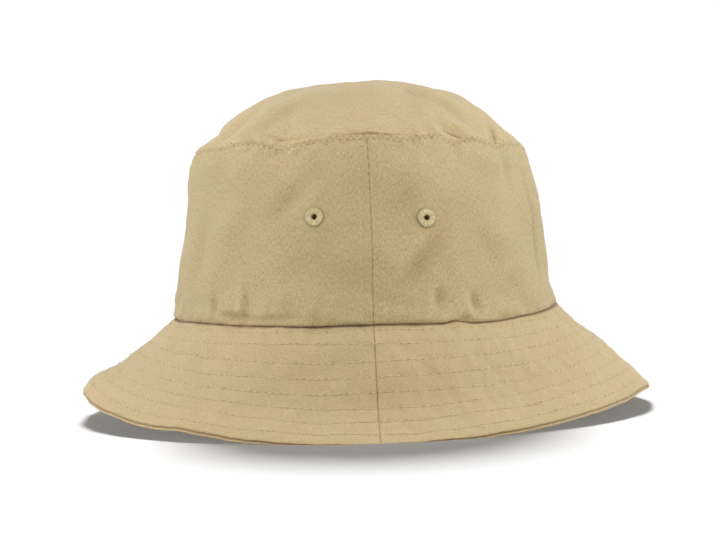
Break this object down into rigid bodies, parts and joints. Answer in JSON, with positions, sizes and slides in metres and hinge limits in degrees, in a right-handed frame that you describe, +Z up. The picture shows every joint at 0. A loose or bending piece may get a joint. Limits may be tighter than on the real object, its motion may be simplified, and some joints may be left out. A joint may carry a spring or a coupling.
{
  "type": "bucket hat",
  "caption": "Soft cotton bucket hat with a domed crown, stitched sloping brim, vent eyelets and an inner sweatband.",
  "frame": {"origin": "under the middle of the crown, on the surface that the brim stands on", "axes": "+Z up through the top of the crown, +X towards the front of the hat, side seams at -Y (wearer's right) and +Y"},
  "size_m": [0.292, 0.2494, 0.169],
  "materials": {
    "cotton_twill": "matt khaki cotton twill",
    "interlining": "plain woven interlining",
    "sweatband_cotton": "matt cotton drill",
    "seam_tape": "matt bias-cut cotton tape",
    "sewing_thread": "spun polyester thread",
    "eyelet_thread": "satin-stitched embroidery thread",
    "label_satin": "woven satin, blank"
  },
  "bodies": {
    "hat": {"crown_tip": "cotton_twill", "side_panel_front": "cotton_twill", "side_panel_rear": "cotton_twill", "crown_seam_tape": "seam_tape", "side_seam_tape_right": "seam_tape", "side_seam_tape_left": "seam_tape", "sweatband": "sweatband_cotton", "sweatband_stitch": "sewing_thread", "tip_seam_stitch_above": "sewing_thread", "tip_seam_stitch_below": "sewing_thread", "side_seam_stitch_right": "sewing_thread", "side_seam_stitch_left": "sewing_thread", "eyelet_right_front": "eyelet_thread", "eyelet_right_rear": "eyelet_thread", "eyelet_left_front": "eyelet_thread", "eyelet_left_rear": "eyelet_thread", "brand_label": "label_satin", "brim_top_front": "cotton_twill", "brim_top_rear": "cotton_twill", "brim_interlining_front": "interlining", "brim_interlining_rear": "interlining", "brim_under_front": "cotton_twill", "brim_under_rear": "cotton_twill", "brim_stitch_row_1": "sewing_thread", "brim_stitch_row_2": "sewing_thread", "brim_stitch_row_3": "sewing_thread", "brim_stitch_row_4": "sewing_thread", "brim_stitch_row_5": "sewing_thread", "brim_stitch_row_6": "sewing_thread", "brim_stitch_row_7": "sewing_thread", "brim_stitch_row_8": "sewing_thread"},
    "care_label": {"care_label": "label_satin"}
  },
  "joints": [
    {"name": "care_label_flip", "type": "hinge", "parent": "hat", "child": "care_label", "pos_m": [-0.0955, 0, 0.0494], "axis": [0, -1, 0], "range_deg": [-35, 165]}
  ]
}
